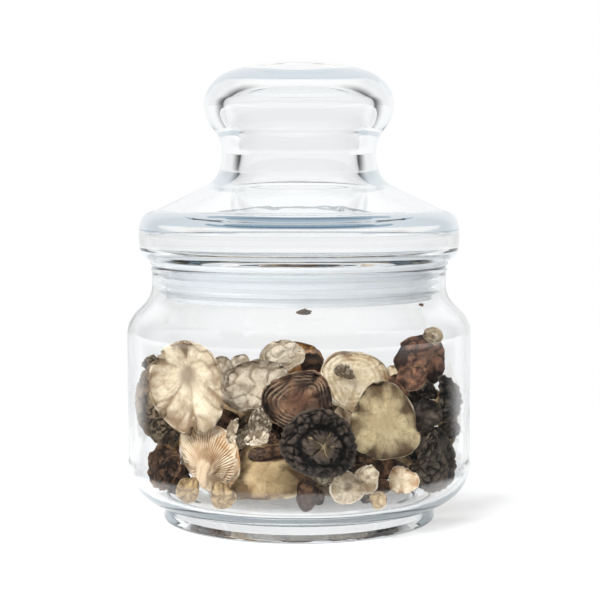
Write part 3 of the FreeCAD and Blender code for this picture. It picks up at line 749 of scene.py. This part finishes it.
def carving(spot, reach, angle, under, recipe, seed):
    """How deep the skin is carved in mm at each point, and a mark from 0 to 1 for pale cracks.

    Pillows: depth * (1 - sqrt |noise|), deep where the noise crosses zero. Folds: depth * (1 -
    |noise|) squared, at two sizes, so the zero lines are sharp creases, with broad hollows. Gills:
    depth * (1 + cos(number * angle)) / 2. Lobes: a valley under each notch. Terraces: the same
    wave as the gills' along the reach. Star: narrow cracks at even angles near the centre.
    Buckle: a wave that is carved from above and added below, so the rim goes up and down.
    """
    warped = spot + 0.9 * np.stack([noise(spot, 3.1, seed + axis) for axis in (11, 12, 13)], -1)
    depth = np.zeros(reach.shape)
    mark = np.zeros(reach.shape)
    top = 1 - under
    if "pillows" in recipe:
        deep, size = recipe["pillows"]
        crease = 1 - np.sqrt(from_crease(warped, size, seed, 2.6))
        small = 1 - np.sqrt(from_crease(warped, size * 0.45, seed + 1))
        centre = smooth_step(reach, 0.25, 0.5) if "star" in recipe else 1
        depth += (deep * crease + deep * 0.35 * small) * (0.35 + 0.65 * top) * centre
    if "folds" in recipe:
        deep, size = recipe["folds"]
        stretched = warped * np.array([1.0, 1.0, 0.6])
        broad = 1 - from_crease(stretched, size, seed + 2)
        fine = 1 - from_crease(stretched, size * 0.38, seed + 3)
        hollows = np.maximum(0, noise(stretched, size, seed + 16))
        depth += deep * (1.3 * broad**2 + 0.5 * fine**2 + 0.5 * hollows)
    if "lobes" in recipe:
        number, _, deep = recipe["lobes"]
        valleys = notch(angle, number, 0.45, seed) * smooth_step(reach, 0.12, 0.85)
        depth += deep * valleys * (top - 0.5 * under)
    if "gills" in recipe:
        deep, number, end = recipe["gills"]
        wander = 2.2 * noise(spot, 4.0, seed + 4)
        blades = 0.5 + 0.5 * np.cos(number * angle + wander)
        band = smooth_step(reach, 0.22, 0.32) * (1 - smooth_step(reach, end - 0.2, end))
        depth += deep * blades * band * under
    if "terraces" in recipe:
        deep, number = recipe["terraces"]
        rings = 0.5 + 0.5 * np.cos(2 * np.pi * number * reach + 7 * noise(spot, 6.0, seed + 5))
        depth += deep * rings * smooth_step(reach, 0.35, 0.55)
        worn = smooth_step(noise(spot, 3.0, seed + 15), -0.4, 0.4) * top
        crests = smooth_step(rings, 0.5, 1.0) * smooth_step(reach, 0.25, 0.5)
        mark = np.maximum(mark, 0.6 * crests * worn)
    if "star" in recipe:
        deep, number = recipe["star"]
        ray_angle = angle + 0.35 * noise(spot, 2.2, seed + 6)
        across = abs(np.sin(number * ray_angle / 2)) * reach * 2 * np.pi / number
        crack = np.exp(-((across / 0.06) ** 2)) * (1 - smooth_step(reach, 0.34, 0.5)) * top
        ring = np.exp(-(((reach - 0.55) / 0.06) ** 2)) * top
        depth += deep * np.exp(-((across / 0.10) ** 2)) * (1 - smooth_step(reach, 0.4, 0.55)) * top
        pitted = smooth_step(abs(noise(spot, 1.3, seed + 7)), 0.0, 0.5)
        depth += 0.9 * ring + 0.35 * pitted * (1 - crack)
        mark = np.maximum(mark, crack * smooth_step(noise(spot, 2.0, seed + 8), -0.15, 0.25))
    if "buckle" in recipe:
        wave = 0.5 + 0.8 * noise(on_circle(angle, 1.7, 3.0), 1.0, seed + 9)
        wave = wave + 0.35 * noise(on_circle(angle, 4.5, 5.0), 1.0, seed + 10)
        rise = recipe["buckle"] * np.clip(wave, 0, 1) * smooth_step(reach, 0.35, 1.0)
        depth += rise * (top - 0.75 * under)
    return depth, mark


print("recipes:", ", ".join(RECIPES))

# %% The skin of one mushroom
RIM_TRIALS = 400
SEED_STEP = 17
# depth in mm at which the finish's painted crease shade is full
CARVED_OUT = 1.1
THICK_LIMIT = 1.5
PROUD_LIMIT = -0.3


def mushroom_grid(kind, width, curl, variety, recipe, rows, columns):
    """Points of one mushroom in its own frame, rows x columns x 3, in mm, and what they carry.

    The smooth surface is weights of the rows @ cage @ weights of the columns. A tear makes the
    rows stop short of the rim on both sides, so the flesh shows a torn edge. The normal is the
    step along the rows crossed with the step along the columns, and the skin is moved against it
    by the carving. Near the rim the underside is drawn up, so that the edge dries thin. A soft
    limit, most * tanh(depth / most), keeps the carving from going through the flesh.
    """
    flat = cage(kind, width, variety)
    bent = bend(flat, width, curl)
    count = flat.shape[0]
    profile = np.array(PROFILES[KINDS[kind][0]], float)
    end = count - 3
    trials = np.linspace(0, end, RIM_TRIALS)
    rim = trials[np.argmax(clamped_weights(count, trials) @ profile[:, 0])]
    upper = round(rows * 0.5)
    lower = np.linspace(rim, end, rows - upper + 1)[1:]
    along = np.concatenate([np.linspace(0, rim, upper), lower])
    angle = 2 * np.pi * np.arange(columns) / columns
    torn = tears(angle, recipe, variety * SEED_STEP)
    above = along[:, None] * (1 - torn)
    below = end - (end - along[:, None]) * (1 - torn)
    place = np.where(np.arange(rows)[:, None] < upper, above, below)
    row_weights = clamped_weights(count, place)
    column_weights = periodic_weights(SPOKES, angle * SPOKES / (2 * np.pi))
    skin_points = np.einsum("ijr,js,rsk->ijk", row_weights, column_weights, bent, optimize=True)
    spot = np.einsum("ijr,js,rsk->ijk", row_weights, column_weights, flat, optimize=True)
    reach = row_weights @ profile[:, 0]
    under = smooth_step(place, rim - 0.1, rim + 0.5)
    down_rows = np.gradient(skin_points, axis=0)
    round_columns = (np.roll(skin_points, -1, 1) - np.roll(skin_points, 1, 1)) / 2
    normal = np.cross(down_rows, round_columns)
    normal[0], normal[-1] = normal[1].mean(0), normal[-2].mean(0)
    normal /= np.linalg.norm(normal, axis=-1, keepdims=True)
    turn = np.broadcast_to(angle, (rows, columns))
    depth, mark = carving(spot, reach, turn, under, recipe, variety * SEED_STEP)
    if "thin" in recipe:
        depth = depth + recipe["thin"] * smooth_step(reach, 0.45, 0.95) * under * width / 2 * 0.16
    most = width / 2 * 0.08 + 0.3 if "thin" in recipe else THICK_LIMIT
    depth = np.where(depth > 0, most * np.tanh(depth / most), np.maximum(depth, PROUD_LIMIT))
    fibre = np.stack([np.cos(turn) * 7, np.sin(turn) * 7, reach * 1.5 + under * 20], -1)
    # relief is 1 on the uncarved skin and 0 where it is carved CARVED_OUT deep; it sets the painted
    # crease shade
    carried = {"spot": spot, "fibre": fibre, "reach": reach, "under": under, "mark": mark,
               "relief": 1 - np.clip(depth / CARVED_OUT, 0, 1)}
    return skin_points, skin_points - normal * depth[..., None], carried


trial = mushroom_grid("oyster", 20, 30, 3, RECIPES["gills"], 40, 72)
print("a trial skin is", np.ptp(trial[1].reshape(-1, 3), 0).round(1), "mm")

# %% [markdown]
# ## Dried flesh
# Dried mushroom is matt and fibrous. Its colour changes at four scales: broad patches a few
# millimetres across, a mottling of about one, streaks from the stalk, and fine specks. Creases
# get painted shade: their colour is darkened the deeper they are carved. Rims are paler where
# they rub. One recipe of nodes does it for every kind, and only the colours differ.

# %% Mushroom finishes
PALE_CRACK = "b09670"
FLESH_ROUGHNESS = 0.75


def dried_flesh(name, skin, patch, crease, gills, rim, centre=None, pale=PALE_CRACK):
    """A dried mushroom's finish in layers: patches, mottle, heart, gills, rim, painted crease
    shade, cracks.
    """
    flesh = Finish(bpy.data.materials.new(name))
    spot = flesh.attribute("spot", "Vector").socket
    fibre = flesh.attribute("fibre", "Vector").socket
    relief, under, reach = (flesh.attribute(name) for name in ("relief", "under", "reach"))
    broad = flesh.noise(spot, 0.22, 4.0, 0.6)
    mottle = flesh.noise(spot, 0.85, 4.0, 0.7)
    grain = flesh.noise(spot, 2.4, 5.0, 0.7)
    streak = flesh.noise(fibre, 1.8, 3.0, 0.6)
    heart = 1 - flesh.step(reach + (broad - 0.5) * 0.3, 0.08, 0.34)
    blades = flesh.mix(paint(gills), paint(crease), (1 - flesh.step(reach, 0.25, 0.75)) * streak)
    # painted shade: creases are painted darker the deeper the skin is carved there (relief), and
    # the grain adds fine dark specks
    crease_shade_and_specks = flesh.step(1 - relief, 0.12, 1.0) * 1.15 + flesh.step(grain, 0.55, 0.70) * 0.4
    colour = paint(skin)
    for layer, share in [
            (paint(patch), flesh.step(broad + (streak - 0.5) * 0.6, 0.40, 0.62)),
            (paint(crease), flesh.step(mottle, 0.50, 0.74) * 0.45),
            (paint(centre or patch), heart * (1 - under) * 0.85),
            (blades, under * 0.9),
            (paint(rim), flesh.step(reach, 0.86, 0.99) * (0.35 + grain * 0.5)),
            # painted shade in the creases, with the grain's dark specks
            (paint(crease), crease_shade_and_specks.maths("MINIMUM", crease_shade_and_specks, 0.95)),
            (paint(pale), flesh.attribute("mark"))]:
        colour = flesh.mix(colour, layer, share)
    shader = flesh.node("ShaderNodeBsdfPrincipled", {}, {
        "Base Color": colour,
        "Roughness": FLESH_ROUGHNESS + (grain - 0.5) * 0.3,
        "Normal": flesh.bump(grain * 0.7 + streak * 0.5, 0.0003, 0.9),
    })
    return flesh.surface(shader.outputs[0])


# paints of the skin, its patches, the creases (their mottle, the gills' centres and the painted
# shade in carved creases), the gills and the rim, and where they differ from the rest those of
# the heart and of the pale cracks
FLESH_PAINTS = {
    "black": "584b41 3a312b 060504 544638 625549 5c4a34 a49270",
    "charcoal": "685b4f 483e36 0a0807 685846 786a5c",
    "umber": "8c785e 625240 1e1813 9c8462 98846a",
    "brown": "785840 4e382a 1a120e 8c6642 866850",
    "russet": "966a50 64483a 261914 aa7a54 b29276",
    "layered": "7a5842 4e3a2e 160f0c 966448 c4a88a 604232 bea082",
    "cream": "dcceb4 c8b69a 846c52 decaa6 f2e9d6 8e7a66",
    "slice": "e6d6ba d4c09e 806242 d8c096 eee4ce bea888 aa8a64",
    "gilled": "e2d3ba ccb89a ac8052 f0e1c6 f8f0e0",
    "tan": "c4ab82 ac926a 5c442c d2b686 ecdbb8",
    "olive": "c0ad87 ae9a74 54402a 88684e eee2c4",
    "grey": "ded0ba ccbca4 806e5a e2d0b0 f4ecdc",
    "ochre": "c4945c a07040 402a1a daa45c 584636",
}
FINISHES = {
    name: dried_flesh(name + "_cap", *paints.split()) for name, paints in FLESH_PAINTS.items()
}
print("finishes:", len(FINISHES))

# %% [markdown]
# ## The heap
# Each row below is one mushroom of the frame: its kind, its width, which way it faces, how far
# it is tilted and spun and how much it is curled, then its finish and its carving recipe. The
# pieces at the front are seen closely and get a fine grid, and those inside the heap a plain one.

# %% The mushrooms in the heap
# name, kind, width, facing, tilt, spin, curl, finish, recipe; all lengths in mm, angles in degrees
FRONT = rows_of("""
shiitake_black shiitake 20.5 7 90 0 10 black star
strip_ridged strip 13 44 86 55 25 charcoal ridges
cap_olive sheet 24.5 22 84 100 40 olive leather
shiitake_edge_left shiitake 23 -84 88 0 12 umber raisin
cap_brown_left shiitake 14 -53 85 10 20 brown ridges
lobe_brown strip 13 -10 60 10 40 brown folds
bit_grey lump 7 -14 60 30 0 grey crumple
bit_curled strip 8 -22 75 80 100 grey crumple
bit_cream_low sheet 11 19 75 30 60 cream gills
bit_gilled_low sheet 9 30 85 110 -50 gilled gills
bit_brown_low strip 11 38 70 0 50 brown folds
oyster_cream oyster 25.5 -20 84 100 -20 cream petals
oyster_gilled oyster 20.5 -27 272 60 -25 gilled gills
oyster_shell sheet 23 -14 66 10 70 tan shell
cap_layered sheet 23 -9 62 15 -80 layered terraces
shiitake_ridged shiitake 20 65 84 30 30 charcoal raisin
cap_dark_right shiitake 15 73 84 80 35 charcoal ridges
cap_red_right shiitake 18 26 66 0 45 russet folds
""")
AROUND = rows_of("""
shiitake_low_left shiitake 19 -90 86 50 25 umber raisin
oyster_low_right oyster 19 94 268 20 -30 gilled gills
oyster_high_right oyster 18 103 80 120 30 tan folds
shiitake_back_1 shiitake 19 124 84 10 20 black raisin
oyster_back_1 oyster 18 134 84 210 -25 cream petals
oyster_back_2 oyster 19 154 268 70 30 gilled gills
shiitake_back_2 shiitake 18 163 80 0 15 umber raisin
sheet_back_1 sheet 21 184 78 30 60 tan folds
oyster_back_3 oyster 18 194 80 290 35 grey folds
shiitake_back_3 shiitake 19 214 82 40 25 charcoal raisin
sheet_back_2 sheet 19 223 86 60 -60 olive leather
oyster_back_4 oyster 18 244 84 130 25 cream petals
shiitake_back_4 shiitake 18 251 82 20 20 brown ridges
shiitake_floor_1 shiitake 24 60 8 0 10 umber raisin
oyster_floor_1 oyster 21 185 175 40 15 tan gills
sheet_floor sheet 21 -50 15 60 40 tan folds
shiitake_core_1 shiitake 21 -120 170 0 15 brown raisin
oyster_core_1 oyster 21 115 15 90 20 grey folds
lump_core_1 lump 18 15 30 20 0 grey crumple
sheet_core_1 sheet 22 230 20 30 60 tan folds
oyster_core_2 oyster 21 70 165 30 20 gilled gills
shiitake_core_2 shiitake 20 165 20 30 20 umber raisin
oyster_core_3 oyster 20 -85 160 130 25 gilled gills
sheet_core_2 sheet 21 10 20 80 50 brown folds
cap_curled sheet 15 -24 70 20 -70 tan folds
oyster_grey oyster 18 -2 60 20 40 grey folds
sheet_folded sheet 14 -20 70 20 100 grey folds
cap_orange_gills oyster 14 355 75 0 40 ochre gills
lump_core_2 lump 18 75 20 40 0 cream crumple
slice_cream oyster 20 3 60 100 30 slice slice
shiitake_top_back shiitake 20 180 20 0 20 umber raisin
oyster_top_left oyster 18 262 30 10 25 cream petals
sheet_top_right sheet 19 115 25 60 40 tan folds
""")
SEEN = {"cap_curled", "oyster_grey", "sheet_folded", "cap_orange_gills", "slice_cream"}
SEEN |= {row[0] for row in FRONT}


def turn_about(axis, degrees):
    """The 3 x 3 matrix of a turn about x (0) or z (2)."""
    cosine, sine = math.cos(math.radians(degrees)), math.sin(math.radians(degrees))
    first, second = (1, 2) if axis == 0 else (0, 1)
    matrix = np.eye(3)
    matrix[[first, second], [first, second]] = cosine
    matrix[first, second], matrix[second, first] = -sine, sine
    return matrix


# %% The mesh of a skin
def skin_mesh(name, grid, carried):
    """A skin's mesh, with what the skin carries, such as its reach, stored on its points."""
    mesh, used = closed_mesh(name, grid)
    for label, values in carried.items():
        form, field = ("FLOAT_VECTOR", "vector") if values.ndim == 3 else ("FLOAT", "value")
        at_points = values.reshape(carried["reach"].size, -1)[used]
        mesh.attributes.new(label, form, "POINT").data.foreach_set(field, at_points.ravel())
    return mesh


print("a skin carries", ", ".join(trial[2]))

# %% Put each mushroom in its place
# rows and columns of the skin's grid
HIDDEN_GRID = (44, 84)
SEEN_GRID = (96, 160)
GILLED_GRID = (84, 448)
GILLED = {"gills", "petals", "slice"}

worst = 0.0
triangles = 0
for variety, row in enumerate(FRONT + AROUND, start=1):
    name, kind, width, facing, tilt, spin, curl, finish, recipe = row
    rows, columns = HIDDEN_GRID
    if name in SEEN:
        rows, columns = GILLED_GRID if recipe in GILLED else SEEN_GRID
    worked = RECIPES[recipe] | {"bites": BITES.get(name, [])}
    smooth, grid, carried = mushroom_grid(kind, width, curl, variety, worked, rows, columns)
    turn = turn_about(2, facing) @ turn_about(0, tilt) @ turn_about(2, spin)
    smooth, grid = smooth @ turn.T * MM, grid @ turn.T * MM
    low, high = (np.array(corner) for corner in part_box(name))
    made_low, made_high = smooth.min((0, 1)), smooth.max((0, 1))
    worst = max(worst, abs((high - low) - (made_high - made_low)).max() / MM)
    grid = grid + (low + high - made_low - made_high) / 2
    mesh = skin_mesh(name + "_shown", grid, carried)
    stand_in_for(name, mesh, "jar_and_contents", FINISHES[finish])
    triangles += 2 * rows * columns
print("mushrooms:", variety, "with about", triangles, "triangles; worst fit", round(worst, 2), "mm")

# %% [markdown]
# ## Broken bits
# Dried mushrooms are brittle, so the gaps between the large pieces hold scraps that broke off. They
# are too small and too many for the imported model. Each fits in a round space of the heap that
# touches its neighbours, so it is clear of them, and its longest side points to what it leans on.

# %% Scraps in the gaps
SCRAP_SORTS = {
    "flake": ("sheet", "folds"), "crumb": ("lump", "ridges"), "shred": ("sheet", "crumple"),
    "gills": ("sheet", "gills"), "knot": ("lump", "crumple"), "sliver": ("strip", "folds"),
}
# middle and radius of the space in mm, direction of what the scrap leans on, sort, finish
SCRAPS = rows_of("""
17.8 -21.4 17.7 4.8 0.34 -0.7 -0.62 flake brown
21.9 -9.7 14.2 4.8 -0.85 0.31 -0.42 flake brown
2.3 -34 11.9 4.8 0 0 -1 flake brown
-31.5 -12.7 11.9 4.8 0 0 -1 flake brown
25.9 -27.7 14.9 4.8 -0.72 0.45 -0.52 gills gilled
-19 -31.5 11.2 4 -0.09 -0.14 -0.99 flake tan
-27.7 -27.7 12.5 3.9 -0.52 -0.53 -0.67 flake tan
29.8 -15.2 12.5 4.2 0.68 -0.66 -0.3 crumb charcoal
17.3 -36.5 17.5 3.7 -0.45 0.59 -0.67 gills cream
29.8 -4 11.2 4.1 0 0 -1 crumb umber
21 -0.2 12.5 3.3 -0.79 -0.46 -0.41 crumb umber
19.8 -34 11.2 2.9 0.33 -0.58 -0.75 flake tan
-17.7 -21.5 10 2.8 0 0 -1 knot grey
4.8 -26.5 10 2.8 0 0 -1 crumb brown
17.3 -24 10 2.8 0 0 -1 crumb brown
-27.7 -20.2 10 2.8 0 0 -1 crumb brown
32.4 4.3 32.1 4.8 0.07 0.45 -0.89 crumb charcoal
31.5 -7.5 28.1 4.8 0.41 -0.77 -0.49 flake charcoal
32.3 -21.5 31.2 4.5 0.46 -0.62 -0.63 flake charcoal
29.8 -17.7 21.2 3.7 0.76 0.43 -0.49 crumb charcoal
39.8 -2.7 23.7 4.2 -0.89 0.26 -0.37 flake charcoal
33.5 -11.5 36.2 3.6 0.84 0.01 -0.54 crumb charcoal
31 1 17.5 3.1 -0.44 0.31 -0.84 crumb umber
-14.9 -15.6 24.2 4.8 0.19 -0.88 -0.43 shred grey
-19.2 -6 26 4.8 -0.15 0.31 -0.94 flake brown
-18.8 8.1 27.9 4.8 0.83 -0.24 -0.5 flake tan
-10 -24.6 28.5 4.8 0.16 0.41 -0.9 shred grey
-6.5 -31.5 26.2 3 -0.09 -0.94 -0.32 crumb brown
-7.7 -7.7 22.5 4.3 -0.17 0.7 -0.7 flake brown
-10.2 -39 23.7 3.2 0.36 0.8 -0.48 flake brown
-11.5 -4 28.7 3.2 0.4 0.25 -0.88 flake tan
-5.2 6 22.5 3.5 -0.65 -0.52 -0.55 crumb umber
-31.5 -7.7 23.7 3.7 -0.37 0.78 -0.5 crumb charcoal
-34 -20.2 27.5 3.7 0.92 -0.03 -0.4 crumb umber
-16.4 2.9 39.6 4.8 0.06 -0.34 -0.94 flake grey
-20.2 -7.7 39.9 4.8 0.33 0.05 -0.94 flake grey
12 -14 41 3.4 0 0.78 -0.63 shred grey
35 -9 50 3.5 -0.33 0.67 -0.66 flake cream
1.2 -37.8 58.5 2.0 1 0 0 sliver charcoal
30.9 -21.5 58.8 1.2 0.57 0.82 0 sliver brown
3.5 -1.5 41.2 4.4 0.14 0.57 -0.81 flake brown
26.1 -16.5 37.9 4.8 -0.59 0.66 -0.46 flake russet
28.5 -25.2 41.2 4.5 -0.56 -0.44 -0.7 flake russet
-40.2 2.3 41.2 3.1 0.33 -0.62 -0.71 crumb umber
14.8 -27.7 21.2 2.7 0.54 -0.51 -0.67 crumb brown
""")
SCRAP_CURL = 35
SCRAP_GRID = (30, 60)
SCRAP_WIDTH = 3.4
SCRAP_VARIETY = 60
BITE_TURN = 83

for number, (*middle, radius, lean_x, lean_y, lean_z, sort, finish) in enumerate(SCRAPS, start=1):
    kind, recipe = SCRAP_SORTS[sort]
    first = number * BITE_TURN
    broken = RECIPES[recipe] | {"bites": [(first, 32, 0.38), (first + 150, 22, 0.30)]}
    _, grid, carried = mushroom_grid(
        kind, SCRAP_WIDTH * radius, SCRAP_CURL, SCRAP_VARIETY + number, broken, *SCRAP_GRID)
    grid = grid - (grid.min((0, 1)) + grid.max((0, 1))) / 2
    grid = grid * radius / np.linalg.norm(grid, axis=-1).max()
    down = Vector((lean_x, lean_y, lean_z)).normalized()
    across = Vector((0.3 * math.sin(number), -1, 0.3)).cross(down).normalized()
    turn = np.array([down, across, down.cross(across)])
    name = "scrap_%02d" % number
    mesh = skin_mesh(name, (grid @ turn + middle) * MM, carried)
    mesh.materials.append(FINISHES[finish])
    scrap = placed(name, mesh)
    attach(scrap, "jar_and_contents")
print("scraps:", len(SCRAPS))
